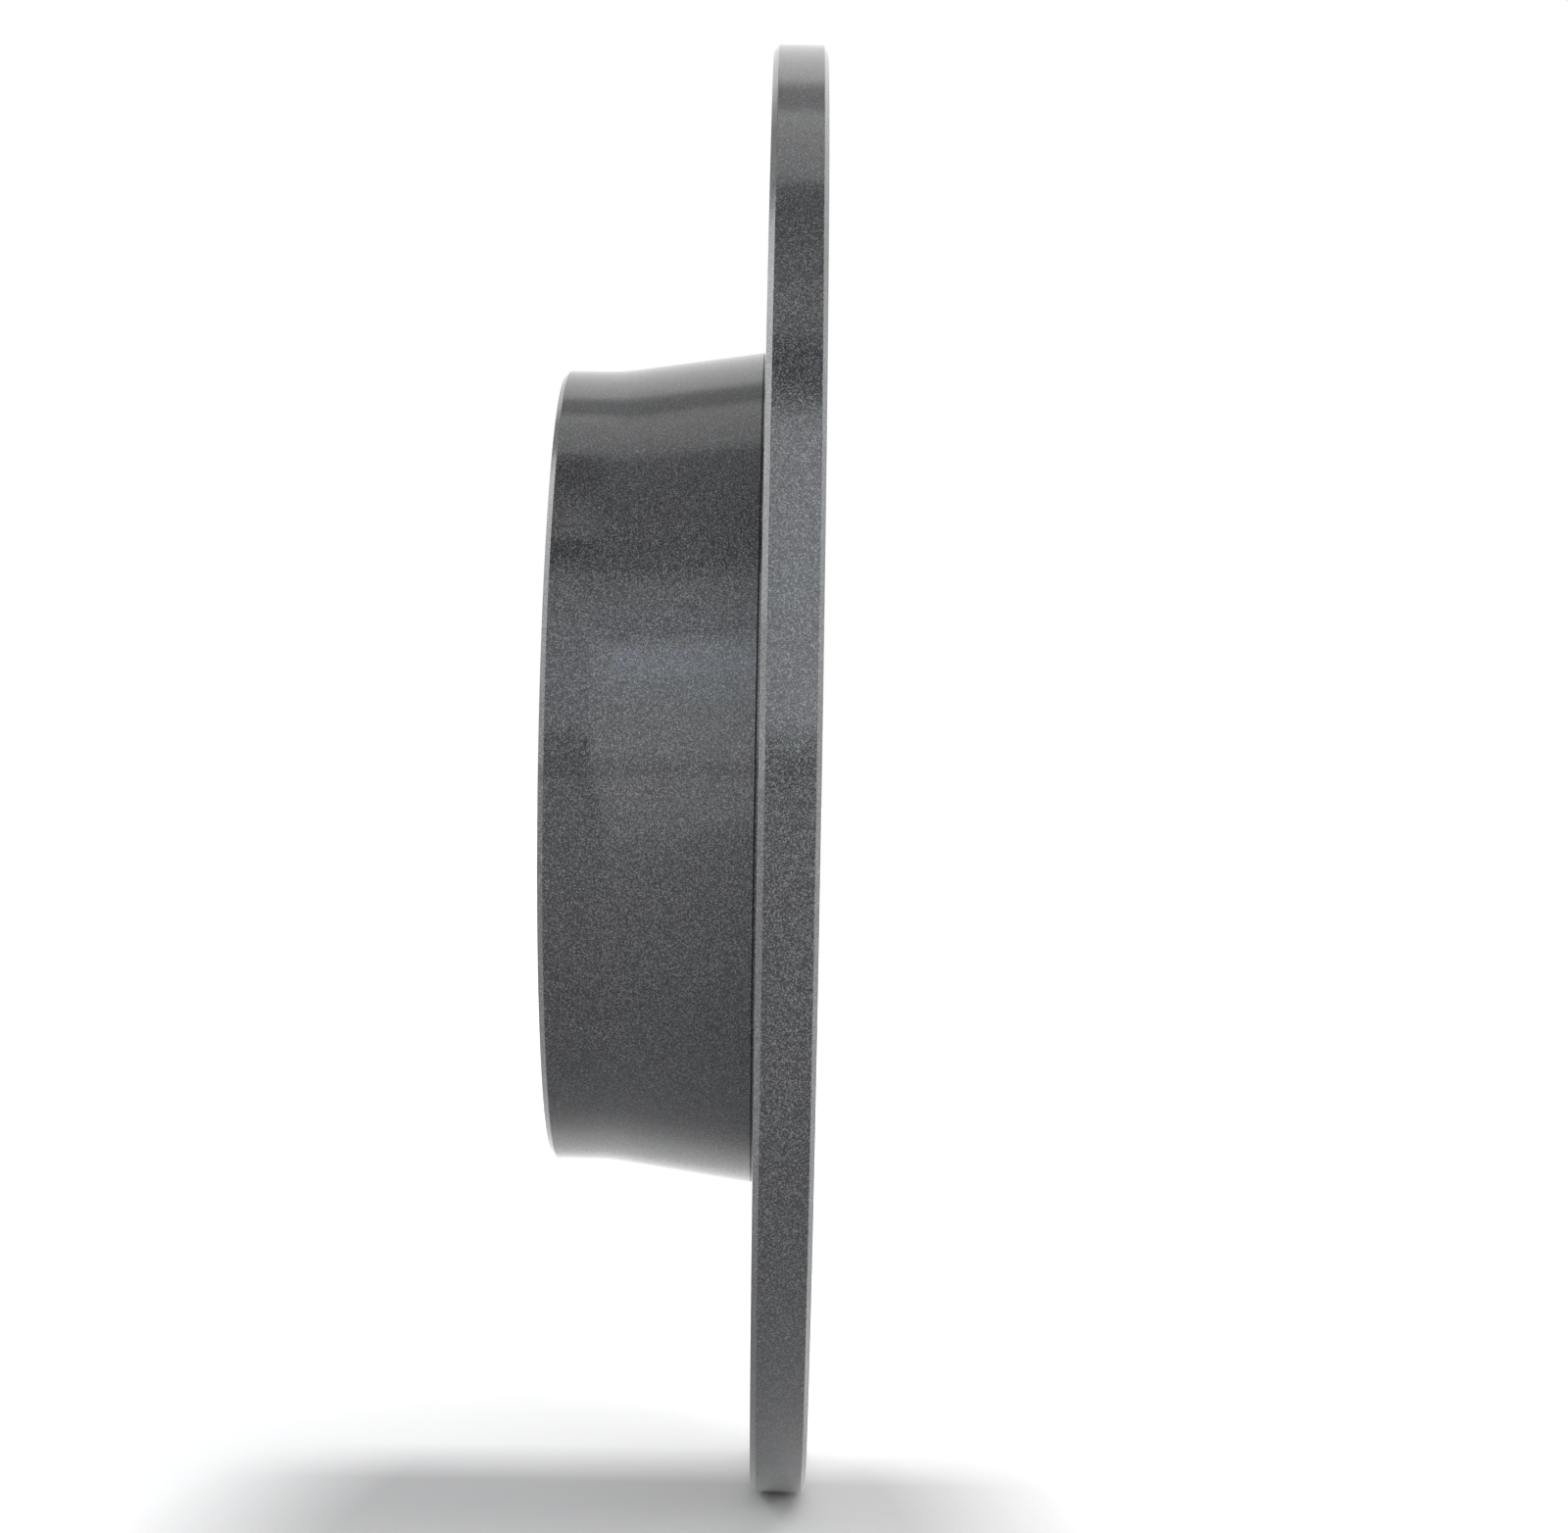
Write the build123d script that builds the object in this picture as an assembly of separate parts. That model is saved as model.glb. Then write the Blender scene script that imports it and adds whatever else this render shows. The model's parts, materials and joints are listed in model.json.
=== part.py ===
from build123d import *

import os

# A solid (non-vented) rear brake disc with its retaining screw, in millimetres.
# The disc stands upright like a mounted wheel. Y is the spin axis, -Y is outboard (the wheel side) and Z is up.
# The origin is on the axis, in the face of the hat that lies on the wheel hub.

# Overall sizes of the disc
OUTER_DIAMETER = 272.0
RING_THICKNESS = 10.0
OVERALL_HEIGHT = 48.4

# Hat: the cup that joins the friction ring to the hub
HAT_BAND_DIAMETER = 149.7
HAT_FOOT_DIAMETER = 158.0
HAT_FACE_THICKNESS = 6.5
HAT_WALL = 6.3
BAND_LENGTH = 10.7
BAND_BLEND_RADIUS = 40.0
HAT_BEVEL = 1.0
POCKET_CORNER_RADIUS = 4.0
MOUTH_RADIUS = 2.5

# Edges of the friction ring: axial and radial extent of each bevel
OUTBOARD_BEVEL = (1.05, 1.3)
INBOARD_BEVEL = (0.8, 1.5)

# Turned relief at the foot of the hat, and the inner limit of both friction faces
FRICTION_INNER_DIAMETER = 167.0
RELIEF_DEPTH = 0.8
FOOT_UNDERCUT_WIDTH = 0.9
FOOT_UNDERCUT_DEPTH = 0.35
RELIEF_CORNER_RADIUS = 0.6

# Hub interface
BORE_DIAMETER = 65.0
BORE_BEVEL_OUTBOARD = 0.8
BORE_BEVEL_INBOARD = 1.0
WHEEL_BOLT_COUNT = 5
WHEEL_BOLT_CIRCLE = 112.0
WHEEL_BOLT_HOLE = 15.3
WHEEL_BOLT_BEVEL = 0.8
TOP_ANGLE = 90.0

# Retaining screw, M6 x 16 countersunk with a six-lobe socket, and its hole in the hat
SCREW_CIRCLE = 112.0
SCREW_THREAD = 6.0
SCREW_LENGTH = 16.0
SCREW_HEAD_DIAMETER = 11.3
SCREW_HEAD_RIM = 0.3
SCREW_TIP_BEVEL = 0.8
SCREW_SEAT_GAP = 0.05
SCREW_HOLE = 6.6
COUNTERSINK_DIAMETER = 12.6
SOCKET_OUTER_DIAMETER = 5.6
SOCKET_INNER_DIAMETER = 4.0
SOCKET_FLUTE_RADIUS = 1.2
SOCKET_LOBE_FILLET = 0.35
SOCKET_DEPTH = 2.2
SOCKET_LOBES = 6

# Faces across the axis, from outboard to inboard
WHEEL_FACE = -HAT_FACE_THICKNESS
HUB_FACE = 0.0
INBOARD_FRICTION_FACE = WHEEL_FACE + OVERALL_HEIGHT
OUTBOARD_FRICTION_FACE = INBOARD_FRICTION_FACE - RING_THICKNESS

CUT_MARGIN = 1.0  # how far a cutter reaches past the faces it opens

# Sketches are drawn with X as the radius and Y along the spin axis
AROUND = Axis.Y


def turned(corners):
    """The solid of revolution about the spin axis of a closed outline, given as (radius, y) corners."""
    return revolve(make_face(Polyline(*corners, close=True)), AROUND, 360)


def hat_outside_radius(y):
    """Radius of the flared hat wall at y, on the straight line from the band's end to the foot."""
    band_end = WHEEL_FACE + BAND_LENGTH
    flare = (HAT_FOOT_DIAMETER - HAT_BAND_DIAMETER) / 2 / (OUTBOARD_FRICTION_FACE - band_end)
    return HAT_BAND_DIAMETER / 2 + flare * (y - band_end)


def disc_outline():
    """Half section of the disc, with its rounded corners, from the bore outwards and back inside the hat."""
    bore = BORE_DIAMETER / 2
    band = HAT_BAND_DIAMETER / 2
    band_end = WHEEL_FACE + BAND_LENGTH
    undercut_start = OUTBOARD_FRICTION_FACE - FOOT_UNDERCUT_WIDTH
    undercut = hat_outside_radius(undercut_start) - FOOT_UNDERCUT_DEPTH
    relief_floor = OUTBOARD_FRICTION_FACE + RELIEF_DEPTH
    friction_inner = FRICTION_INNER_DIAMETER / 2
    rim = OUTER_DIAMETER / 2
    back_step = INBOARD_FRICTION_FACE - RELIEF_DEPTH
    mouth = hat_outside_radius(OUTBOARD_FRICTION_FACE) - HAT_WALL

    band_corner = (band, band_end)
    relief_corner = (undercut, relief_floor)
    mouth_corner = (mouth, back_step)
    pocket_corner = (band - HAT_WALL, HUB_FACE)
    outline = Polyline(
        (bore + BORE_BEVEL_OUTBOARD, WHEEL_FACE),
        (band - HAT_BEVEL, WHEEL_FACE),
        (band, WHEEL_FACE + HAT_BEVEL),
        band_corner,
        (hat_outside_radius(undercut_start), undercut_start),
        (undercut, undercut_start),
        relief_corner,
        (friction_inner - RELIEF_DEPTH, relief_floor),
        (friction_inner, OUTBOARD_FRICTION_FACE),
        (rim - OUTBOARD_BEVEL[1], OUTBOARD_FRICTION_FACE),
        (rim, OUTBOARD_FRICTION_FACE + OUTBOARD_BEVEL[0]),
        (rim, INBOARD_FRICTION_FACE - INBOARD_BEVEL[0]),
        (rim - INBOARD_BEVEL[1], INBOARD_FRICTION_FACE),
        (friction_inner, INBOARD_FRICTION_FACE),
        (friction_inner - RELIEF_DEPTH, back_step),
        mouth_corner,
        pocket_corner,
        (bore + BORE_BEVEL_INBOARD, HUB_FACE),
        (bore, HUB_FACE - BORE_BEVEL_INBOARD),
        (bore, WHEEL_FACE + BORE_BEVEL_OUTBOARD),
        close=True,
    )
    section = make_face(outline)
    rounded = {
        band_corner: BAND_BLEND_RADIUS,
        relief_corner: RELIEF_CORNER_RADIUS,
        mouth_corner: MOUTH_RADIUS,
        pocket_corner: POCKET_CORNER_RADIUS,
    }
    for corner, radius in rounded.items():
        vertex = section.vertices().sort_by_distance(Vector(*corner))[0]
        section = fillet(vertex, radius)
    return section


def on_circle(diameter, angle):
    """A place on a circle around the spin axis; the angle is counted from +X towards +Z."""
    return Rot(0, -angle, 0) * Pos(diameter / 2, 0, 0)


def wheel_bolt_cutter():
    """One wheel-bolt hole, bevelled on the outboard side, on its own axis."""
    hole = WHEEL_BOLT_HOLE / 2
    flare = WHEEL_BOLT_BEVEL + CUT_MARGIN
    return turned(
        [
            (0, WHEEL_FACE - CUT_MARGIN),
            (hole + flare, WHEEL_FACE - CUT_MARGIN),
            (hole, WHEEL_FACE + WHEEL_BOLT_BEVEL),
            (hole, HUB_FACE + CUT_MARGIN),
            (0, HUB_FACE + CUT_MARGIN),
        ]
    )


def screw_hole_cutter():
    """The countersunk clearance hole of the retaining screw, on its own axis."""
    hole = SCREW_HOLE / 2
    mouth = COUNTERSINK_DIAMETER / 2
    return turned(
        [
            (0, WHEEL_FACE - CUT_MARGIN),
            (mouth + CUT_MARGIN, WHEEL_FACE - CUT_MARGIN),
            (hole, WHEEL_FACE + mouth - hole),
            (hole, HUB_FACE + CUT_MARGIN),
            (0, HUB_FACE + CUT_MARGIN),
        ]
    )


def brake_disc():
    """The one-piece grey iron casting: friction ring, hat wall and hat face."""
    disc = revolve(disc_outline(), AROUND, 360)
    for number in range(WHEEL_BOLT_COUNT):
        angle = TOP_ANGLE + number * 360 / WHEEL_BOLT_COUNT
        disc -= on_circle(WHEEL_BOLT_CIRCLE, angle) * wheel_bolt_cutter()
    disc -= on_circle(SCREW_CIRCLE, -TOP_ANGLE) * screw_hole_cutter()
    return disc


def lobed_socket():
    """Outline of the six-lobe drive socket."""
    outline = Circle(SOCKET_OUTER_DIAMETER / 2)
    flute_circle = SOCKET_INNER_DIAMETER / 2 + SOCKET_FLUTE_RADIUS
    for place in PolarLocations(flute_circle, SOCKET_LOBES):
        outline -= place * Circle(SOCKET_FLUTE_RADIUS)
    return fillet(outline.vertices(), SOCKET_LOBE_FILLET)


def retaining_screw():
    """Countersunk screw, its head just below the wheel face; the thread is a plain shank at its outer size."""
    head = SCREW_HEAD_DIAMETER / 2
    shank = SCREW_THREAD / 2
    cone_start = WHEEL_FACE + COUNTERSINK_DIAMETER / 2 - head - SCREW_SEAT_GAP
    top = cone_start - SCREW_HEAD_RIM
    tip = top + SCREW_LENGTH
    body = turned(
        [
            (0, top),
            (head, top),
            (head, cone_start),
            (shank, cone_start + head - shank),
            (shank, tip - SCREW_TIP_BEVEL),
            (shank - SCREW_TIP_BEVEL, tip),
            (0, tip),
        ]
    )
    inward = Plane(origin=(0, top, 0), x_dir=(1, 0, 0), z_dir=(0, 1, 0))
    body -= extrude(inward * lobed_socket(), SOCKET_DEPTH)
    return on_circle(SCREW_CIRCLE, -TOP_ANGLE) * body


os.makedirs("parts", exist_ok=True)
for name, make in (("brake_disc", brake_disc), ("retaining_screw", retaining_screw)):
    export_step(make(), f"parts/{name}.step")
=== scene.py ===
import json
import math

import bmesh
import bpy
from mathutils import Matrix, Vector, noise

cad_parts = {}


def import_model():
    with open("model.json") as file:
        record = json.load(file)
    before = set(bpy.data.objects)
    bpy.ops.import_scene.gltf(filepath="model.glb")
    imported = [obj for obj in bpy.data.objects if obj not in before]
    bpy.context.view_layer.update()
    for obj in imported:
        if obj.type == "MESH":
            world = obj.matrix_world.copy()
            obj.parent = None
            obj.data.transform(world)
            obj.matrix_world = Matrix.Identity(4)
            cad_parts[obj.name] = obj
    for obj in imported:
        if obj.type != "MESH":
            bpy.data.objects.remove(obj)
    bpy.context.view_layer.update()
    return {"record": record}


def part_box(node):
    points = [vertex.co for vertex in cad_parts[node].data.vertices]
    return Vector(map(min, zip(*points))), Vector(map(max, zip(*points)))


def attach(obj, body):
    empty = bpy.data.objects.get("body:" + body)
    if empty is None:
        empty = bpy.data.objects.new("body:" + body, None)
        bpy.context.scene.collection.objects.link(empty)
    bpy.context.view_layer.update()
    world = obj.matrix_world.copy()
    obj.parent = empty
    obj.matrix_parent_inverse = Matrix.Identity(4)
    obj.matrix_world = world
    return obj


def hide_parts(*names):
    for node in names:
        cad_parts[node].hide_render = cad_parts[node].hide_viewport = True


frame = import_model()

# A coated solid brake disc with its retaining screw, in metres. Y is the spin axis, -Y is outboard, Z is up.

MM = 0.001
MOUNTS = {mount["name"]: mount for mount in frame["record"]["mounts"]}

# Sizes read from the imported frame
DISC_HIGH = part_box("brake_disc")[1]
SCREW_LOW, SCREW_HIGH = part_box("retaining_screw")
RIM_RADIUS = DISC_HIGH.x
WHEEL_FACE = MOUNTS["wheel_face"]["pos_m"][1]
HUB_FACE = MOUNTS["hub_face"]["pos_m"][1]
OUTBOARD_FRICTION = MOUNTS["outboard_friction_face"]["pos_m"][1]
INBOARD_FRICTION = MOUNTS["inboard_friction_face"]["pos_m"][1]
BORE_RADIUS = MOUNTS["hub_bore"]["dims"]["r_mm"] * MM
BOLT_CIRCLE_RADIUS = MOUNTS["wheel_bolt_holes"]["dims"]["pcd_mm"] / 2 * MM
BOLT_HOLE_RADIUS = MOUNTS["wheel_bolt_holes"]["dims"]["hole_r_mm"] * MM
BOLT_COUNT = MOUNTS["wheel_bolt_holes"]["dims"]["count"]

# Hat
BAND_RADIUS = 74.85 * MM
FOOT_RADIUS = 79.0 * MM
HAT_WALL = 6.3 * MM
BAND_LENGTH = 10.7 * MM
BAND_BLEND_RADIUS = 40.0 * MM
HAT_BEVEL = 1.0 * MM
POCKET_CORNER_RADIUS = 4.0 * MM
MOUTH_RADIUS = 2.5 * MM

# Friction ring and the turned relief at the foot of the hat
OUTBOARD_BEVEL = (1.05 * MM, 1.3 * MM)
INBOARD_BEVEL = (0.8 * MM, 1.5 * MM)
FRICTION_INNER_RADIUS = 83.5 * MM
RELIEF_DEPTH = 0.8 * MM
UNDERCUT_WIDTH = 0.9 * MM
UNDERCUT_DEPTH = 0.35 * MM
RELIEF_CORNER_RADIUS = 0.6 * MM

# Bore, bolt-hole and screw-hole edges
BORE_BEVEL_OUTBOARD = 0.8 * MM
BORE_BEVEL_INBOARD = 1.0 * MM
BOLT_BEVEL = 0.8 * MM
SCREW_HOLE_RADIUS = 3.3 * MM
COUNTERSINK_RADIUS = 6.3 * MM
EDGE_SOFTNESS = 0.16 * MM  # radius of the rounding that the coating leaves on each turned edge

# As-cast skin inside the hat
CAST_LUMP = 5.0 * MM
CAST_LUMP_HEIGHT = 0.07 * MM
CAST_GRAIN = 1.8 * MM
CAST_GRAIN_HEIGHT = 0.03 * MM
CAST_FADE = 3.0 * MM
CAST_ROW_STEP = 0.9 * MM

# Retaining screw
SCREW_X = (SCREW_LOW.x + SCREW_HIGH.x) / 2
SCREW_Z = (SCREW_LOW.z + SCREW_HIGH.z) / 2
SCREW_HEAD_RIM = 0.3 * MM
SCREW_TIP_BEVEL = 0.8 * MM
SCREW_SOFTNESS = 0.1 * MM
SCREW_SHARP_ANGLE = math.radians(38)
SOCKET_RADIUS = 2.8 * MM
SOCKET_FLUTE_CENTRE = 3.2 * MM
SOCKET_FLUTE_RADIUS = 1.2 * MM
SOCKET_DEPTH = 2.2 * MM
SOCKET_DRILL_POINT = 0.5 * MM
SOCKET_LOBES = 6
THREAD_RADIUS = 3.0 * MM
THREAD_PITCH = 1.0 * MM
THREAD_DEPTH = 0.6 * MM
THREAD_NECK = 0.7  # share of the thread's depth at which the plain neck under the head lies
THREAD_ROWS = 16  # rows of the mesh in one pitch
THREAD_FLAT = 0.12  # share of the pitch that is flat at the root, and again at the crest

# Material slots of the disc
COATED = 0
GROUND = 1
CAST = 2

# Mesh fineness
DISC_COLUMNS = 512
HOLE_COLUMNS = 96
SCREW_COLUMNS = 96
ARC_STEPS = 5  # steps of a sharp corner
ARC_STEPS_MOST = 24
ARC_RADIUS_FOR_DOUBLE = 8 * MM  # corner radius that takes twice the steps of a sharp one
CORNER_SHARE = 0.49  # most of a straight run that one corner's rounding may take
TOP_ANGLE = math.pi / 2

# Looks of the coating, the bare iron and the plating
FLAKE_SIZE = 0.17 * MM
FLAKE_CONTRAST = 3.0
FLAKE_DARK = 0.3
FLAKE_BRIGHT = 3.2
FLAKE_TILT = 0.45
COATING_GREENISH = (0.0622, 0.0675, 0.0692)
COATING_PURPLISH = (0.0668, 0.0652, 0.0700)
COATING_METALLIC = 0.65
COATING_ROUGHNESS = 0.5
CLEAR_ROUGHNESS = 0.05
CLEAR_IOR = 1.5
PEEL_SCALE = 500.0
PEEL_HEIGHT = 0.004 * MM
CAST_CLEAR_ROUGHNESS = 0.28
CAST_BUMP_SCALE = 900.0
CAST_BUMP_HEIGHT = 0.12 * MM
HUE_SCALE = 55.0
HUE_MIDDLE = (0.35, 0.65)  # noise values between which the hue changes
CLOUD_SCALE = 60.0
CLOUD_DEPTH = 0.05
MIDDLE = (0.3, 0.7)  # where most of a noise's values lie
GROUND_COLOUR = (0.46, 0.45, 0.44)
GROUND_TONE = (0.8, 1.14)
GROUND_BAND_TONE = (0.9, 1.08)
GROUND_ROUGHNESS = (0.26, 0.4)
GROUND_ANISOTROPY = 0.75
QUARTER_TURN = 0.25  # draws the gloss out across the turning marks
TURNING_PITCH = 0.35 * MM
TURNING_BAND = 2.5 * MM
TURNING_DEPTH = 0.006 * MM
STREAKS_ROUND = 12.0
PLATING_COLOUR = (0.62, 0.62, 0.60)
PLATING_CLOUD_SCALE = 1200.0
PLATING_TONE = (0.85, 1.1)
PLATING_ROUGHNESS = (0.25, 0.4)
PLATING_BUMP_SCALE = 6000.0
PLATING_BUMP_HEIGHT = 0.004 * MM

# Studio floor in metres. It glows with painted light, except in a dimmer pool of painted shade in front of the
# disc, which the disc mirrors
FLOOR_SIZE = 12.0
FLOOR_TONE_AND_PAINTED_SHADE = (0.84, 0.64)  # floor colour outside the pool, and painted shade in it
# painted light: the floor glows with this strength outside the painted shade, though it is no lamp
FLOOR_PAINTED_GLOW = 0.3
FLOOR_ROUGHNESS = 0.9
SHADE_POOL_CENTRE = (1.35, 0.01)
SHADE_POOL_EDGE_X = (1.345, 1.385)  # distances from the centre of the painted shade pool between which it fades out
SHADE_POOL_EDGE_Y = (0.045, 0.085)  # the same across the disc's foot
SHADE_POOL_SPREAD = 0.12  # how much wider the pool gets with each metre in front of the disc

# Studio lights on a dome around the disc. Directions are in degrees: the rise turns about the Y axis from the
# camera's side (+X, 0) over the top (90) to the back (180), and the side leans from there towards +Y.
# Each entry is name: (rise from, to), (side from, to), width of its soft edge, radiance, colour.
SURROUND = 1.0
COOL = (0.97, 1.0, 1.05)
BLUISH = (0.88, 1.0, 1.15)
NEUTRAL = (1.0, 1.0, 1.0)
LIGHTS = {
    "ceiling": ((54, 98), (-38, 10), 5, 0.35, NEUTRAL),
    "ceiling_front_gap": ((58, 66), (-6, 10), 3, 0.0, NEUTRAL),
    "ceiling_light": ((66, 76), (-6, 10), 3, 0.7, NEUTRAL),
    "ceiling_back_gap": ((84, 97), (-6, 10), 3, 0.05, NEUTRAL),
    "back_beam": ((119, 130), (-38, 10), 4, 0.35, NEUTRAL),
    "left_back_dark": ((116, 150), (-38, -10), 6, 0.3, NEUTRAL),
    "front_softbox": ((4, 42), (-38, 10), 4, 1.25, COOL),
    "front_softbox_core": ((5, 53), (-0.4, 12), 5, 2.75, COOL),
    "left_softbox_low": ((2, 17), (-38, -6), 3, 1.55, NEUTRAL),
    "left_softbox_middle": ((17, 36), (-38, -6), 3, 1.75, COOL),
    "left_softbox_top": ((36, 48), (-38, -6), 4, 1.05, COOL),
    "blue_panel": ((25, 33), (-30, -16), 3, 2.4, BLUISH),
    "lower_gap": ((-5, 3), (-6, 10), 3, 0.5, NEUTRAL),
    "camera_shade": ((-15, 9), (-6, -0.6), 2, 0.45, NEUTRAL),
    "right_gap": ((-5, 62), (12, 45), 6, 0.08, NEUTRAL),
    "right_top_light": ((68, 110), (12, 45), 8, 2.0, NEUTRAL),
    "far_left_light": ((-5, 30), (-75, -38), 8, 1.9, COOL),
    "far_left_dark": ((36, 98), (-74, -40), 8, 0.1, NEUTRAL),
    "left_back_light": ((104, 138), (-95, -36), 6, 3.2, NEUTRAL),
    "back_left_light": ((138, 195), (-95, -40), 6, 2.0, NEUTRAL),
    "left_end_light": ((-15, 195), (-95, -78), 5, 2.3, NEUTRAL),
    "far_right_light": ((-5, 55), (46, 84), 6, 7.0, NEUTRAL),
    "far_right_dark": ((65, 120), (46, 84), 8, 0.2, NEUTRAL),
    "back_right_light": ((130, 195), (40, 80), 6, 1.4, NEUTRAL),
}
DOME_RADIUS = 2.5
DOME_RISE = (-9, 189)
DOME_SIDE = (-89, 89)
DOME_STEP = (2, 2)  # degrees along the rise and across the side

# The camera, fitted to the outline of the disc: lengths are shares of the disc's outer radius
CAMERA_DISTANCE = 5.52
CAMERA_ASIDE = -0.0296
CAMERA_DROP = 0.0019
CAMERA_ROLL = math.radians(0.956)
CAMERA_LENS = 90.2
SENSOR_WIDTH = 36.0


# Outlines of turned shapes --------------------------------------------------------------------------------


def arc_at(before, corner, after, radius):
    """The rounded corner between two straight runs, as (point, normal) pairs.
    The normal is to the right of the run."""
    to_before = (before - corner).normalized()
    to_after = (after - corner).normalized()
    half = to_before.angle(to_after) / 2
    reach = radius / math.tan(half)
    longest = CORNER_SHARE * min((before - corner).length, (after - corner).length)
    if reach > longest:
        radius *= longest / reach
        reach = longest
    start = corner + to_before * reach
    end = corner + to_after * reach
    centre = corner + (to_before + to_after).normalized() * (radius / math.sin(half))
    first = start - centre
    turn = math.pi - 2 * half
    way = 1 if to_before.cross(to_after) < 0 else -1
    wanted = round(ARC_STEPS * (1 + radius / ARC_RADIUS_FOR_DOUBLE))
    steps = max(2, min(ARC_STEPS_MOST, wanted))
    pairs = []
    for step in range(steps + 1):
        angle = way * turn * step / steps
        spun = Vector(
            (
                first.x * math.cos(angle) - first.y * math.sin(angle),
                first.x * math.sin(angle) + first.y * math.cos(angle),
            )
        )
        pairs.append((centre + spun, spun.normalized() * way))
    return pairs


def corner_arcs(corners, closed):
    """The rounded corners of an outline of (radius, y, corner radius) entries.
    The outline is walked with the iron on the left.
    An open outline's first and last entries only give the direction of its end runs."""
    points = [Vector(corner[:2]) for corner in corners]
    count = len(points)
    inner = range(count) if closed else range(1, count - 1)
    return [arc_at(points[i - 1], points[i], points[(i + 1) % count], corners[i][2]) for i in inner]


def disc_corners():
    """The corners of the disc's half section, as name: (radius, y, corner radius).
    They are walked with the iron on the left."""
    band_end = WHEEL_FACE + BAND_LENGTH
    flare = (FOOT_RADIUS - BAND_RADIUS) / (OUTBOARD_FRICTION - band_end)
    undercut_start = OUTBOARD_FRICTION - UNDERCUT_WIDTH
    cone_end = FOOT_RADIUS - flare * UNDERCUT_WIDTH
    undercut = cone_end - UNDERCUT_DEPTH
    relief_floor = OUTBOARD_FRICTION + RELIEF_DEPTH
    step_floor = INBOARD_FRICTION - RELIEF_DEPTH
    relief_edge = FRICTION_INNER_RADIUS - RELIEF_DEPTH
    soft = EDGE_SOFTNESS
    return {
        "wheel_face_inner": (BORE_RADIUS + BORE_BEVEL_OUTBOARD, WHEEL_FACE, soft),
        "wheel_face_outer": (BAND_RADIUS - HAT_BEVEL, WHEEL_FACE, soft),
        "band_start": (BAND_RADIUS, WHEEL_FACE + HAT_BEVEL, soft),
        "band_end": (BAND_RADIUS, band_end, BAND_BLEND_RADIUS),
        "cone_end": (cone_end, undercut_start, soft),
        "undercut": (undercut, undercut_start, soft),
        "relief_corner": (undercut, relief_floor, RELIEF_CORNER_RADIUS),
        "relief_edge": (relief_edge, relief_floor, soft),
        "outboard_inner": (FRICTION_INNER_RADIUS, OUTBOARD_FRICTION, soft),
        "outboard_outer": (RIM_RADIUS - OUTBOARD_BEVEL[1], OUTBOARD_FRICTION, soft),
        "rim_outboard": (RIM_RADIUS, OUTBOARD_FRICTION + OUTBOARD_BEVEL[0], soft),
        "rim_inboard": (RIM_RADIUS, INBOARD_FRICTION - INBOARD_BEVEL[0], soft),
        "inboard_outer": (RIM_RADIUS - INBOARD_BEVEL[1], INBOARD_FRICTION, soft),
        "inboard_inner": (FRICTION_INNER_RADIUS, INBOARD_FRICTION, soft),
        "step_edge": (relief_edge, step_floor, soft),
        "mouth": (FOOT_RADIUS - HAT_WALL, step_floor, MOUTH_RADIUS),
        "pocket_corner": (BAND_RADIUS - HAT_WALL, HUB_FACE, POCKET_CORNER_RADIUS),
        "hub_face_inner": (BORE_RADIUS + BORE_BEVEL_INBOARD, HUB_FACE, soft),
        "bore_inboard": (BORE_RADIUS, HUB_FACE - BORE_BEVEL_INBOARD, soft),
        "bore_outboard": (BORE_RADIUS, WHEEL_FACE + BORE_BEVEL_OUTBOARD, soft),
    }


# Meshes ---------------------------------------------------------------------------------------------------


class Turned:
    """Collects the vertices of turned surfaces, with the true normal of each, and the quads between rings."""

    def __init__(self):
        self.mesh = bmesh.new()
        self.normals = []

    def ring(self, point, normal, columns, place=Matrix.Identity(4), skin=None):
        """One circle of vertices around the Y axis of place.
        skin(point, normal) gives a rough spot's new place and normal."""
        vertices = []
        for column in range(columns):
            angle = 2 * math.pi * column / columns
            spin = Vector((math.cos(angle), 0, math.sin(angle)))
            spot = place @ (spin * point.x + Vector((0, point.y, 0)))
            facing = place.to_3x3() @ (spin * normal.x + Vector((0, normal.y, 0)))
            if skin:
                spot, facing = skin(spot, facing)
            vertices.append(self.mesh.verts.new(spot))
            self.normals.append(facing)
        return vertices

    def strip(self, rings, material):
        """Quads between each ring and the next; material(number) is the slot of the quads after that ring."""
        for number, (low, high) in enumerate(zip(rings, rings[1:])):
            for column in range(len(low)):
                after = (column + 1) % len(low)
                face = self.mesh.faces.new((low[column], high[column], high[after], low[after]))
                face.material_index = material(number)

    def plate(self, rings, normal, material):
        """A flat face bounded by its outer ring and pierced by the others."""
        edges = set()
        for ring in rings:
            for column, vertex in enumerate(ring):
                edges.add(self.mesh.edges.get((vertex, ring[(column + 1) % len(ring)])))
        made = bmesh.ops.triangle_fill(
            self.mesh, use_beauty=True, use_dissolve=False, edges=list(edges), normal=normal
        )
        for item in made["geom"]:
            if isinstance(item, bmesh.types.BMFace):
                item.material_index = material
                if item.normal.dot(normal) < 0:
                    item.normal_flip()

    def piece(self, name, materials):
        """The finished object, smooth all over, because each edge is a real rounding."""
        for face in self.mesh.faces:
            face.smooth = True
        mesh = bpy.data.meshes.new(name)
        self.mesh.to_mesh(mesh)
        self.mesh.free()
        for material in materials:
            mesh.materials.append(material)
        mesh.normals_split_custom_set_from_vertices([normal.normalized() for normal in self.normals])
        made = bpy.data.objects.new(name, mesh)
        bpy.context.scene.collection.objects.link(made)
        return made


def along(start, end, step):
    """Evenly spaced points strictly between two points, about step apart."""
    count = max(1, round((end - start).length / step))
    return [start.lerp(end, number / count) for number in range(1, count)]


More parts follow.
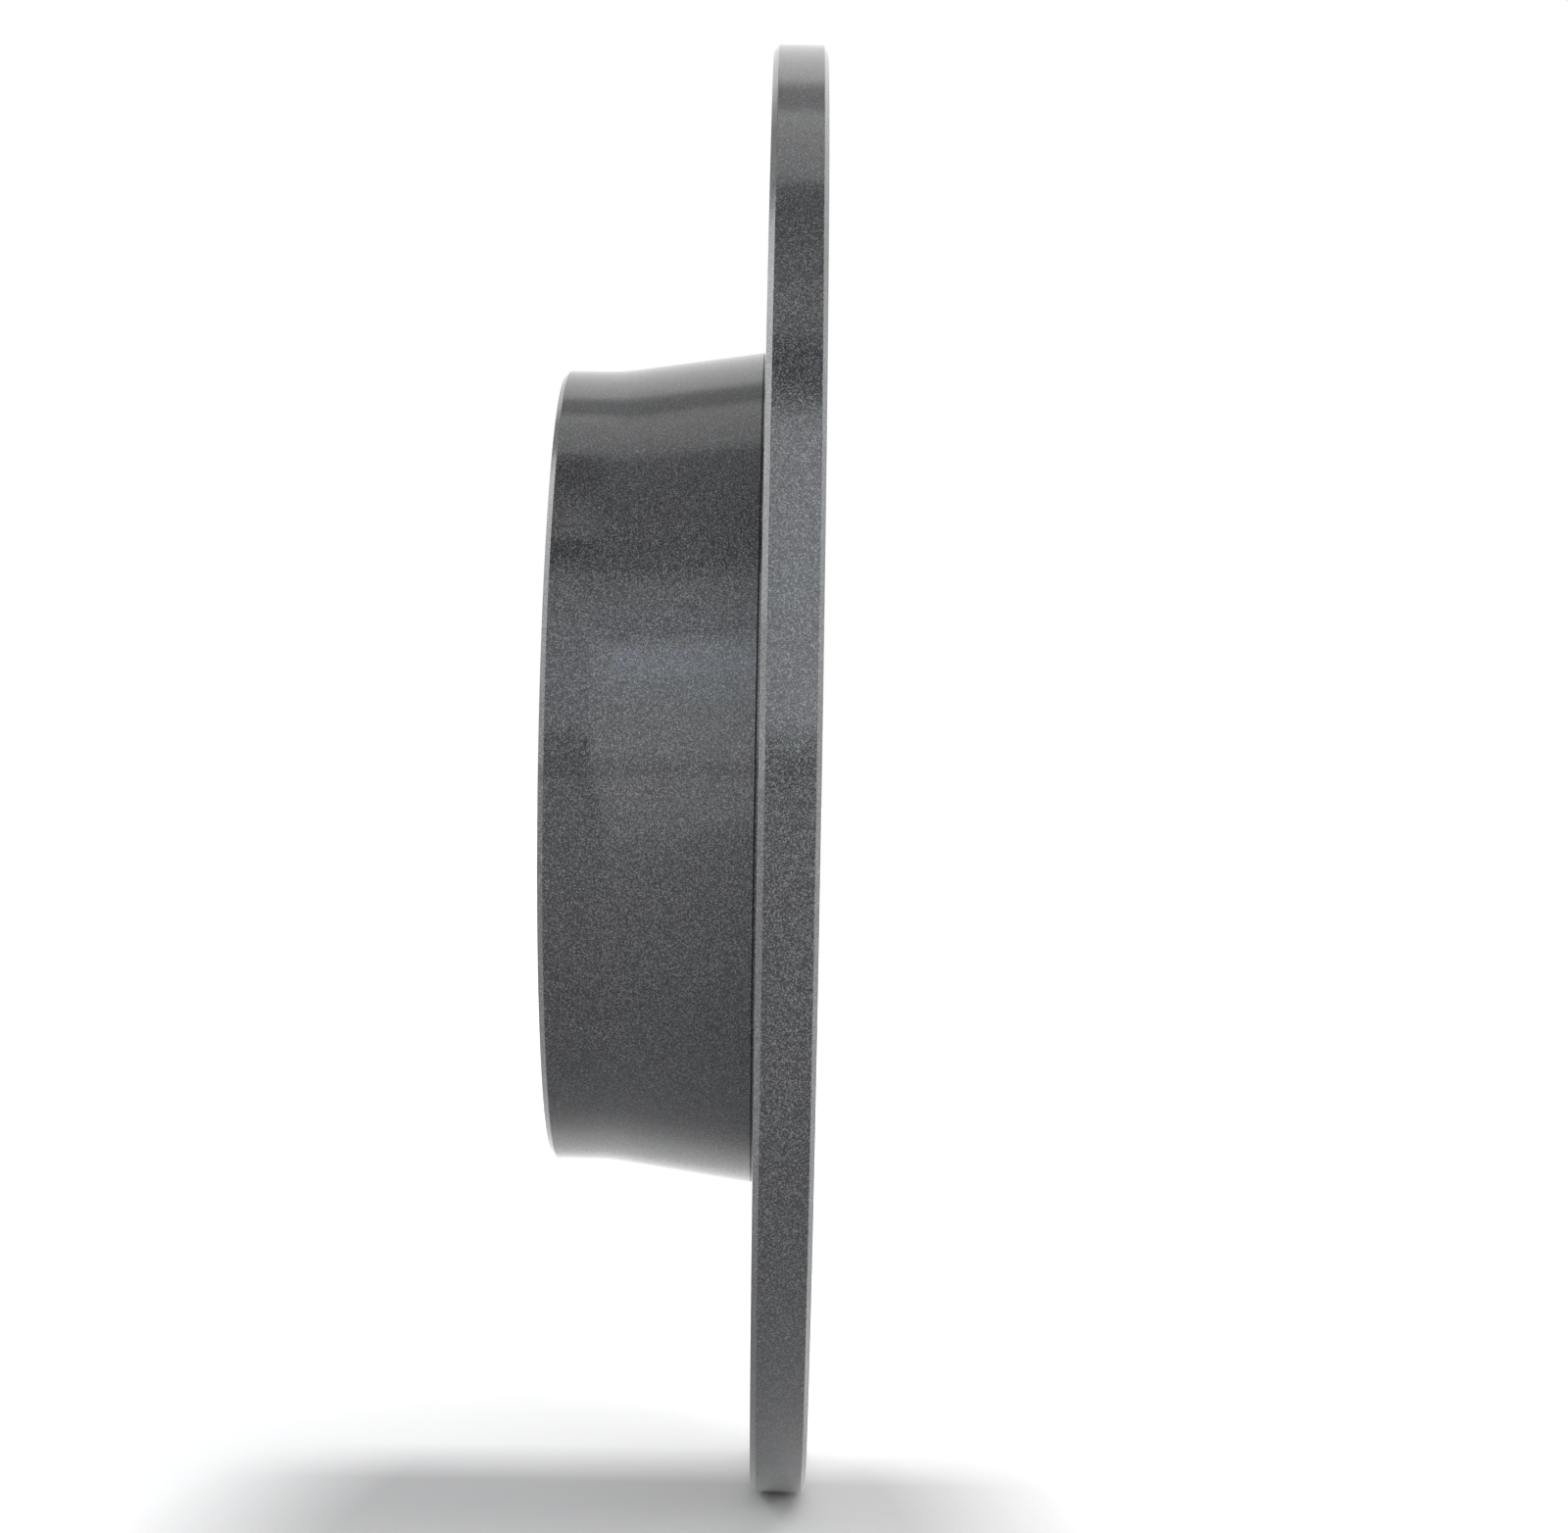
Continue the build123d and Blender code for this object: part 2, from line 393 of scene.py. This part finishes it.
def cast_height(spot):
    """How far the as-cast skin inside the hat stands off its true surface.
    It fades out at both ends of the wall."""
    coarse = noise.noise(spot / CAST_LUMP) * CAST_LUMP_HEIGHT
    fine = noise.noise(spot / CAST_GRAIN) * CAST_GRAIN_HEIGHT
    depth = min(spot.y - HUB_FACE - POCKET_CORNER_RADIUS, INBOARD_FRICTION - 2 * MOUTH_RADIUS - spot.y)
    return (coarse + fine) * max(0.0, min(1.0, depth / CAST_FADE))


def cast_skin(spot, facing):
    """Moves a spot of the wall onto the as-cast skin, and tilts its normal to the skin's slope."""
    round_way = Vector((-facing.z, 0, facing.x)).normalized()
    tilt = facing.copy()
    for way in (round_way, facing.cross(round_way)):
        reach = way * CAST_GRAIN / 4
        slope = (cast_height(spot + reach) - cast_height(spot - reach)) / (CAST_GRAIN / 2)
        tilt -= way * slope
    return spot + facing * cast_height(spot), tilt


def hole_rings(turned, corners, place):
    """The rings of one hole through the hat face, from the hub side to the wheel side."""
    arcs = corner_arcs(corners, closed=False)
    return [turned.ring(point, normal, HOLE_COLUMNS, place) for arc in arcs for point, normal in arc]


def bolt_hole_corners():
    return [
        (2 * BOLT_HOLE_RADIUS, HUB_FACE, 0),
        (BOLT_HOLE_RADIUS, HUB_FACE, EDGE_SOFTNESS),
        (BOLT_HOLE_RADIUS, WHEEL_FACE + BOLT_BEVEL, EDGE_SOFTNESS),
        (BOLT_HOLE_RADIUS + BOLT_BEVEL, WHEEL_FACE, EDGE_SOFTNESS),
        (2 * BOLT_HOLE_RADIUS, WHEEL_FACE, 0),
    ]


def screw_hole_corners():
    return [
        (2 * SCREW_HOLE_RADIUS, HUB_FACE, 0),
        (SCREW_HOLE_RADIUS, HUB_FACE, EDGE_SOFTNESS),
        (SCREW_HOLE_RADIUS, WHEEL_FACE + COUNTERSINK_RADIUS - SCREW_HOLE_RADIUS, EDGE_SOFTNESS),
        (COUNTERSINK_RADIUS, WHEEL_FACE, EDGE_SOFTNESS),
        (2 * COUNTERSINK_RADIUS, WHEEL_FACE, 0),
    ]


def disc_piece(coating, ground, cast):
    """The whole casting: ring, hat and drilled hat face in one closed skin."""
    corners = disc_corners()
    arcs = dict(zip(corners, corner_arcs(list(corners.values()), closed=True)))
    names = list(arcs)
    turned = Turned()

    def rings_of(first, last):
        rings, slots = [], []
        for name in names[names.index(first) : names.index(last) + 1]:
            for point, normal in arcs[name]:
                rings.append(turned.ring(point, normal, DISC_COLUMNS))
                slots.append(COATED)
            if name in ("outboard_inner", "inboard_outer"):
                slots[-1] = GROUND
            if name == "mouth":
                after = arcs["pocket_corner"][0][0]
                slots[-1] = CAST
                for point in along(arcs[name][-1][0], after, CAST_ROW_STEP):
                    rings.append(turned.ring(point, normal, DISC_COLUMNS, skin=cast_skin))
                    slots.append(CAST)
        return rings, slots

    outside, outside_slots = rings_of("wheel_face_outer", "pocket_corner")
    turned.strip(outside, lambda number: outside_slots[number])
    bore, bore_slots = rings_of("hub_face_inner", "bore_outboard")
    for point, normal in arcs["wheel_face_inner"]:
        bore.append(turned.ring(point, normal, DISC_COLUMNS))
    turned.strip(bore, lambda number: COATED)
    holes = []
    for number in range(BOLT_COUNT):
        angle = TOP_ANGLE + 2 * math.pi * number / BOLT_COUNT
        place = Matrix.Translation(Vector((math.cos(angle), 0, math.sin(angle))) * BOLT_CIRCLE_RADIUS)
        holes.append(hole_rings(turned, bolt_hole_corners(), place))
    holes.append(hole_rings(turned, screw_hole_corners(), Matrix.Translation((SCREW_X, 0, SCREW_Z))))
    for hole in holes:
        turned.strip(hole, lambda number: COATED)
    hub_side = [outside[-1], bore[0]] + [hole[0] for hole in holes]
    wheel_side = [outside[0], bore[-1]] + [hole[-1] for hole in holes]
    turned.plate(hub_side, Vector((0, 1, 0)), COATED)
    turned.plate(wheel_side, Vector((0, -1, 0)), COATED)
    return turned.piece("coated_brake_disc", [coating, ground, cast])


def socket_radius(angle):
    """Outline of the six-lobe socket: a circle with six round flutes standing into it."""
    lobe = 2 * math.pi / SOCKET_LOBES
    aside = (angle + lobe / 2) % lobe - lobe / 2
    across = SOCKET_FLUTE_CENTRE * math.sin(aside)
    if abs(across) >= SOCKET_FLUTE_RADIUS:
        return SOCKET_RADIUS
    flute = SOCKET_FLUTE_CENTRE * math.cos(aside) - math.sqrt(SOCKET_FLUTE_RADIUS**2 - across**2)
    return min(SOCKET_RADIUS, flute)


def thread_radius(angle, y, start, end):
    """Radius of the right-hand M6 thread, which runs out under the head and at the bevelled tip."""
    phase = (y / THREAD_PITCH + angle / (2 * math.pi)) % 1
    flank = min(1.0, max(0.0, (1 - abs(2 * phase - 1) - THREAD_FLAT) / (1 - 2 * THREAD_FLAT)))
    fade = max(0.0, min(1.0, (y - start) / THREAD_PITCH))
    neck = THREAD_RADIUS - THREAD_DEPTH * THREAD_NECK
    thread = THREAD_RADIUS - THREAD_DEPTH * (1 - flank)
    tip = THREAD_RADIUS - SCREW_TIP_BEVEL + (end - y)
    return min(tip, neck * (1 - fade) + thread * fade)


def screw_piece(plating):
    """The retaining screw in the disc's screw hole: lobed socket, countersunk head and a true helical thread."""
    head = (SCREW_HIGH.x - SCREW_LOW.x) / 2
    top = SCREW_LOW.y
    tip = SCREW_HIGH.y
    floor = top + SOCKET_DEPTH
    cone_start = top + SCREW_HEAD_RIM
    cone_end = cone_start + head - THREAD_RADIUS
    soft = SCREW_SOFTNESS

    def lobed(grow, y):
        return lambda angle: (socket_radius(angle) + grow, y)

    def plain(radius, y):
        return lambda angle: (radius, y)

    rows = [
        lobed(-3 * soft, floor),
        lobed(0, floor - soft),
        lobed(0, top + 2 * soft),
        lobed(soft / 2, top + soft / 2),
        lobed(2 * soft, top),
        plain((head + SOCKET_RADIUS) / 2, top),
        plain(head - soft, top),
        plain(head - soft / 3, top + soft / 3),
        plain(head, top + soft),
        plain(head, cone_start - soft / 2),
        plain(head - soft / 2, cone_start + soft / 2),
        plain(THREAD_RADIUS + soft, cone_end - soft),
    ]
    steps = round((tip - cone_end) / THREAD_PITCH * THREAD_ROWS)
    for step in range(steps + 1):
        y = cone_end + (tip - cone_end) * step / steps
        rows.append(lambda angle, y=y: (thread_radius(angle, y, cone_end, tip), y))
    made = bmesh.new()
    centre = Vector((SCREW_X, 0, SCREW_Z))
    rings = []
    for row in rows:
        ring = []
        for column in range(SCREW_COLUMNS):
            angle = 2 * math.pi * column / SCREW_COLUMNS
            radius, y = row(angle)
            spot = Vector((radius * math.cos(angle), y, radius * math.sin(angle)))
            ring.append(made.verts.new(centre + spot))
        rings.append(ring)
    drill_point = made.verts.new(centre + Vector((0, floor + SOCKET_DRILL_POINT, 0)))
    tip_centre = made.verts.new(centre + Vector((0, tip, 0)))
    for column in range(SCREW_COLUMNS):
        after = (column + 1) % SCREW_COLUMNS
        made.faces.new((drill_point, rings[0][column], rings[0][after]))
        made.faces.new((tip_centre, rings[-1][after], rings[-1][column]))
        for low, high in zip(rings, rings[1:]):
            made.faces.new((low[column], high[column], high[after], low[after]))
    for face in made.faces:
        face.smooth = True
    mesh = bpy.data.meshes.new("retaining_screw_threaded")
    made.to_mesh(mesh)
    made.free()
    mesh.set_sharp_from_angle(angle=SCREW_SHARP_ANGLE)
    mesh.materials.append(plating)
    piece = bpy.data.objects.new("retaining_screw_threaded", mesh)
    bpy.context.scene.collection.objects.link(piece)
    return piece


# Materials ------------------------------------------------------------------------------------------------


class Nodes:
    """A material's node tree, with short calls that add and join nodes."""

    def __init__(self, name):
        self.material = bpy.data.materials.new(name)
        self.material.use_nodes = True
        self.tree = self.material.node_tree
        self.tree.nodes.clear()
        self.shader = self.add("ShaderNodeBsdfPrincipled")
        output = self.add("ShaderNodeOutputMaterial")
        self.join(self.shader.outputs["BSDF"], output.inputs["Surface"])
        self.place = self.add("ShaderNodeTexCoord").outputs["Object"]

    def add(self, kind, **settings):
        node = self.tree.nodes.new(kind)
        for key, value in settings.items():
            setattr(node, key, value)
        return node

    def join(self, output, socket):
        self.tree.links.new(output, socket)

    def feed(self, socket, value):
        """Joins an output to a socket, or sets the socket to a plain value."""
        if isinstance(value, bpy.types.NodeSocket):
            self.join(value, socket)
        else:
            socket.default_value = value

    def maths(self, operation, *values):
        node = self.add("ShaderNodeMath", operation=operation)
        for socket, value in zip(node.inputs, values):
            self.feed(socket, value)
        return node.outputs[0]

    def vector_maths(self, operation, first, second=None, scale=None):
        node = self.add("ShaderNodeVectorMath", operation=operation)
        self.feed(node.inputs[0], first)
        if second is not None:
            self.feed(node.inputs[1], second)
        if scale is not None:
            self.feed(node.inputs["Scale"], scale)
        return node.outputs[0]

    def noise(self, scale, detail=2.0, roughness=0.5, place=None):
        node = self.add("ShaderNodeTexNoise")
        self.join(place or self.place, node.inputs["Vector"])
        node.inputs["Scale"].default_value = scale
        node.inputs["Detail"].default_value = detail
        node.inputs["Roughness"].default_value = roughness
        return node.outputs["Fac"]

    def spread(self, value, low, high, from_low=0.0, from_high=1.0):
        """Maps a value from one range onto another."""
        node = self.add("ShaderNodeMapRange")
        self.join(value, node.inputs["Value"])
        node.inputs["From Min"].default_value = from_low
        node.inputs["From Max"].default_value = from_high
        node.inputs["To Min"].default_value = low
        node.inputs["To Max"].default_value = high
        return node.outputs["Result"]

    def bump(self, height, distance, strength=1.0, normal=None):
        node = self.add("ShaderNodeBump")
        self.join(height, node.inputs["Height"])
        node.inputs["Distance"].default_value = distance
        node.inputs["Strength"].default_value = strength
        if normal:
            self.join(normal, node.inputs["Normal"])
        return node.outputs["Normal"]

    def tint(self, colour, brightness):
        """A colour times a brightness that varies over the surface."""
        node = self.add("ShaderNodeMix", data_type="RGBA", blend_type="MULTIPLY")
        node.inputs["Factor"].default_value = 1.0
        self.feed(node.inputs["A"], colour if isinstance(colour, bpy.types.NodeSocket) else (*colour, 1.0))
        self.join(brightness, node.inputs["B"])
        return node.outputs["Result"]


def flake_coating(name, clear_roughness):
    """Dark grey gloss paint with a fine metallic flake under a clear top.
    Gives the node tree, for more detail, and the tilted normal of the flakes."""
    nodes = Nodes(name)
    flakes = nodes.add("ShaderNodeTexVoronoi", feature="F1")
    nodes.join(nodes.place, flakes.inputs["Vector"])
    flakes.inputs["Scale"].default_value = 1 / FLAKE_SIZE
    random = flakes.outputs["Color"]
    parts = nodes.add("ShaderNodeSeparateColor")
    nodes.join(random, parts.inputs["Color"])
    glint = nodes.maths("POWER", parts.outputs["Red"], FLAKE_CONTRAST)
    cloud = nodes.spread(nodes.noise(CLOUD_SCALE, 3.0), 1 - CLOUD_DEPTH, 1 + CLOUD_DEPTH, *MIDDLE)
    brightness = nodes.maths("MULTIPLY", nodes.spread(glint, FLAKE_DARK, FLAKE_BRIGHT), cloud)
    hue = nodes.add("ShaderNodeMix", data_type="RGBA")
    purplish = nodes.spread(nodes.noise(HUE_SCALE, 2.0), 0.0, 1.0, *HUE_MIDDLE)
    nodes.join(purplish, hue.inputs["Factor"])
    hue.inputs["A"].default_value = (*COATING_GREENISH, 1.0)
    hue.inputs["B"].default_value = (*COATING_PURPLISH, 1.0)
    nodes.join(nodes.tint(hue.outputs["Result"], brightness), nodes.shader.inputs["Base Color"])
    nodes.shader.inputs["Metallic"].default_value = COATING_METALLIC
    nodes.shader.inputs["Roughness"].default_value = COATING_ROUGHNESS
    nodes.shader.inputs["Coat Weight"].default_value = 1.0
    nodes.shader.inputs["Coat Roughness"].default_value = clear_roughness
    nodes.shader.inputs["Coat IOR"].default_value = CLEAR_IOR
    aside = nodes.vector_maths("SUBTRACT", random, (0.5, 0.5, 0.5))
    tilt = nodes.vector_maths("SCALE", aside, scale=FLAKE_TILT)
    facing = nodes.add("ShaderNodeNewGeometry").outputs["Normal"]
    tilted = nodes.vector_maths("NORMALIZE", nodes.vector_maths("ADD", facing, tilt))
    return nodes, tilted


def coating_material():
    """The coating on turned iron: almost flat, with a slight orange peel in its clear top."""
    nodes, tilted = flake_coating("flake_coating", CLEAR_ROUGHNESS)
    nodes.join(tilted, nodes.shader.inputs["Normal"])
    nodes.join(nodes.bump(nodes.noise(PEEL_SCALE, 2.0), PEEL_HEIGHT), nodes.shader.inputs["Coat Normal"])
    return nodes.material


def cast_material():
    """The same coating over the sand-cast skin inside the hat, whose grain breaks up the gloss."""
    nodes, tilted = flake_coating("coated_cast_skin", CAST_CLEAR_ROUGHNESS)
    grain = nodes.noise(CAST_BUMP_SCALE, 4.0, 0.6)
    nodes.join(nodes.bump(grain, CAST_BUMP_HEIGHT, normal=tilted), nodes.shader.inputs["Normal"])
    nodes.join(nodes.bump(grain, CAST_BUMP_HEIGHT), nodes.shader.inputs["Coat Normal"])
    return nodes.material


def ring_noise(nodes, radius, round_way, pitch, detail):
    """Noise that changes across the radius at a pitch, and only slowly round the circle."""
    polar = nodes.add("ShaderNodeVectorMath", operation="MULTIPLY_ADD")
    across = nodes.add("ShaderNodeCombineXYZ")
    nodes.join(radius, across.inputs["X"])
    nodes.join(round_way, polar.inputs[0])
    polar.inputs[1].default_value = (pitch, pitch, pitch)
    nodes.join(across.outputs["Vector"], polar.inputs[2])
    return nodes.noise(1 / pitch, detail, 0.6, polar.outputs["Vector"])


def ground_material():
    """Bare grey iron of the friction faces, finely turned.
    It has rings of several pitches, and a gloss drawn out across them."""
    nodes = Nodes("turned_iron")
    flat = nodes.vector_maths("MULTIPLY", nodes.place, (1.0, 0.0, 1.0))
    length = nodes.add("ShaderNodeVectorMath", operation="LENGTH")
    nodes.join(flat, length.inputs[0])
    radius = length.outputs["Value"]
    round_way = nodes.vector_maths("NORMALIZE", flat)
    fine = ring_noise(nodes, radius, round_way, TURNING_PITCH, 2.0)
    broad = ring_noise(nodes, radius, round_way, TURNING_BAND, 2.0)
    streaks_way = nodes.vector_maths("SCALE", round_way, scale=STREAKS_ROUND)
    streaks = ring_noise(nodes, radius, streaks_way, TURNING_PITCH, 1.0)
    mixed = nodes.maths("ADD", nodes.maths("MULTIPLY", fine, 0.5), nodes.maths("MULTIPLY", streaks, 0.5))
    ring_tone = nodes.spread(mixed, *GROUND_TONE, *MIDDLE)
    band_tone = nodes.spread(broad, *GROUND_BAND_TONE, *MIDDLE)
    tone = nodes.maths("MULTIPLY", ring_tone, band_tone)
    nodes.join(nodes.tint(GROUND_COLOUR, tone), nodes.shader.inputs["Base Color"])
    nodes.shader.inputs["Metallic"].default_value = 1.0
    nodes.join(nodes.spread(broad, *GROUND_ROUGHNESS, *MIDDLE), nodes.shader.inputs["Roughness"])
    nodes.shader.inputs["Anisotropic"].default_value = GROUND_ANISOTROPY
    nodes.shader.inputs["Anisotropic Rotation"].default_value = QUARTER_TURN
    tangent = nodes.add("ShaderNodeTangent", direction_type="RADIAL", axis="Y")
    nodes.join(tangent.outputs["Tangent"], nodes.shader.inputs["Tangent"])
    nodes.join(nodes.bump(mixed, TURNING_DEPTH), nodes.shader.inputs["Normal"])
    return nodes.material


def plating_material():
    """Zinc plating, slightly cloudy."""
    nodes = Nodes("zinc_plating")
    cloud = nodes.noise(PLATING_CLOUD_SCALE, 3.0)
    tone = nodes.spread(cloud, *PLATING_TONE, *MIDDLE)
    nodes.join(nodes.tint(PLATING_COLOUR, tone), nodes.shader.inputs["Base Color"])
    nodes.shader.inputs["Metallic"].default_value = 1.0
    nodes.join(nodes.spread(cloud, *PLATING_ROUGHNESS, *MIDDLE), nodes.shader.inputs["Roughness"])
    grain = nodes.noise(PLATING_BUMP_SCALE, 2.0)
    nodes.join(nodes.bump(grain, PLATING_BUMP_HEIGHT), nodes.shader.inputs["Normal"])
    return nodes.material


# Studio ---------------------------------------------------------------------------------------------------


def camera():
    """Looks along -X at the disc's rim, with the height and the lean of the fitted view."""
    target = Vector((0, OUTBOARD_FRICTION, 0))
    right = Vector((0, math.cos(CAMERA_ROLL), math.sin(CAMERA_ROLL)))
    up = Vector((0, -math.sin(CAMERA_ROLL), math.cos(CAMERA_ROLL)))
    back = right.cross(up)
    data = bpy.data.cameras.new("camera")
    data.lens = CAMERA_LENS
    data.sensor_width = SENSOR_WIDTH
    data.clip_start = 0.01
    data.clip_end = 50
    made = bpy.data.objects.new("camera", data)
    turn = Matrix((right, up, back)).transposed().to_4x4()
    offset = back * CAMERA_DISTANCE - right * CAMERA_ASIDE + up * CAMERA_DROP
    made.matrix_world = Matrix.Translation(target + offset * RIM_RADIUS) @ turn
    bpy.context.scene.collection.objects.link(made)
    bpy.context.scene.camera = made


def floor():
    """A wide pale floor under the rim, with a painted glow, and a pool of painted shade in front of the disc
    where it is dimmer and without the glow.
    """
    made = bmesh.new()
    bmesh.ops.create_grid(made, x_segments=8, y_segments=8, size=FLOOR_SIZE)
    mesh = bpy.data.meshes.new("studio_floor")
    made.to_mesh(mesh)
    made.free()
    ground = bpy.data.objects.new("studio_floor", mesh)
    ground.location.z = -RIM_RADIUS
    bpy.context.scene.collection.objects.link(ground)
    nodes = Nodes("pale_floor")
    where = nodes.add("ShaderNodeNewGeometry").outputs["Position"]
    apart = nodes.add("ShaderNodeSeparateXYZ")
    nodes.join(nodes.vector_maths("SUBTRACT", where, (*SHADE_POOL_CENTRE, 0.0)), apart.inputs["Vector"])
    within_x = nodes.spread(nodes.maths("ABSOLUTE", apart.outputs["X"]), 1.0, 0.0, *SHADE_POOL_EDGE_X)
    forward = nodes.add("ShaderNodeSeparateXYZ")
    nodes.join(where, forward.inputs["Vector"])
    wider = nodes.maths("MULTIPLY", forward.outputs["X"], SHADE_POOL_SPREAD)
    aside = nodes.maths("SUBTRACT", nodes.maths("ABSOLUTE", apart.outputs["Y"]), wider)
    within_y = nodes.spread(aside, 1.0, 0.0, *SHADE_POOL_EDGE_Y)
    # painted shade: the pool in front of the disc, where the floor is dimmer and does not glow
    painted_shade = nodes.maths("MULTIPLY", within_x, within_y)
    nodes.join(nodes.tint((1, 1, 1), nodes.spread(painted_shade, *FLOOR_TONE_AND_PAINTED_SHADE)), nodes.shader.inputs["Base Color"])
    # painted light: the floor glows everywhere outside the painted shade
    nodes.join(nodes.spread(painted_shade, FLOOR_PAINTED_GLOW, 0.0), nodes.shader.inputs["Emission Strength"])
    nodes.shader.inputs["Emission Color"].default_value = (1, 1, 1, 1)
    nodes.shader.inputs["Roughness"].default_value = FLOOR_ROUGHNESS
    mesh.materials.append(nodes.material)


def inside(value, span, softness):
    """1 inside a span, 0 outside, with a soft edge centred on each end."""
    depth = min(value - span[0], span[1] - value)
    return max(0.0, min(1.0, depth / softness + 0.5))


def radiance_from(rise, side):
    """Colour and strength of the studio light that comes from a direction.
    Each light is laid over those before it."""
    light = Vector((SURROUND, SURROUND, SURROUND))
    for rises, sides, softness, strength, colour in LIGHTS.values():
        share = inside(rise, rises, softness) * inside(side, sides, softness)
        light = light.lerp(Vector(colour) * strength, share)
    return light


def spaced(span, step):
    count = round((span[1] - span[0]) / step)
    return [span[0] + (span[1] - span[0]) * number / count for number in range(count + 1)]


def light_dome():
    """One glowing shell around the disc that holds all the soft lights.
    The camera sees the surroundings through it."""
    made = bmesh.new()
    glow = made.verts.layers.float_color.new("glow")
    rows = []
    for rise in spaced(DOME_RISE, DOME_STEP[0]):
        row = []
        for side in spaced(DOME_SIDE, DOME_STEP[1]):
            turn = math.radians(rise)
            lean = math.radians(side)
            ahead = math.cos(lean)
            way = Vector((ahead * math.cos(turn), math.sin(lean), ahead * math.sin(turn)))
            vertex = made.verts.new(way * DOME_RADIUS)
            vertex[glow] = (*radiance_from(rise, side), 1.0)
            row.append(vertex)
        rows.append(row)
    for low, high in zip(rows, rows[1:]):
        for across in range(len(low) - 1):
            made.faces.new((low[across], low[across + 1], high[across + 1], high[across]))
    mesh = bpy.data.meshes.new("light_dome")
    made.to_mesh(mesh)
    made.free()
    material = bpy.data.materials.new("studio_glow")
    material.use_nodes = True
    tree = material.node_tree
    tree.nodes.clear()
    colour = tree.nodes.new("ShaderNodeAttribute")
    colour.attribute_name = "glow"
    emission = tree.nodes.new("ShaderNodeEmission")
    output = tree.nodes.new("ShaderNodeOutputMaterial")
    tree.links.new(colour.outputs["Color"], emission.inputs["Color"])
    tree.links.new(emission.outputs["Emission"], output.inputs["Surface"])
    mesh.materials.append(material)
    dome = bpy.data.objects.new("light_dome", mesh)
    dome.visible_camera = False
    bpy.context.scene.collection.objects.link(dome)


def world():
    """Even white surroundings."""
    made = bpy.data.worlds.new("studio")
    made.use_nodes = True
    background = made.node_tree.nodes["Background"]
    background.inputs["Color"].default_value = (1, 1, 1, 1)
    background.inputs["Strength"].default_value = SURROUND
    made.cycles.sampling_method = "NONE"
    bpy.context.scene.world = made


def studio():
    world()
    floor()
    camera()
    light_dome()
    bpy.context.scene.view_settings.view_transform = "Standard"


# The object -----------------------------------------------------------------------------------------------

disc = disc_piece(coating_material(), ground_material(), cast_material())
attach(disc, "disc")
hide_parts("brake_disc")

screw = screw_piece(plating_material())
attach(screw, "screw")
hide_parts("retaining_screw")

studio()
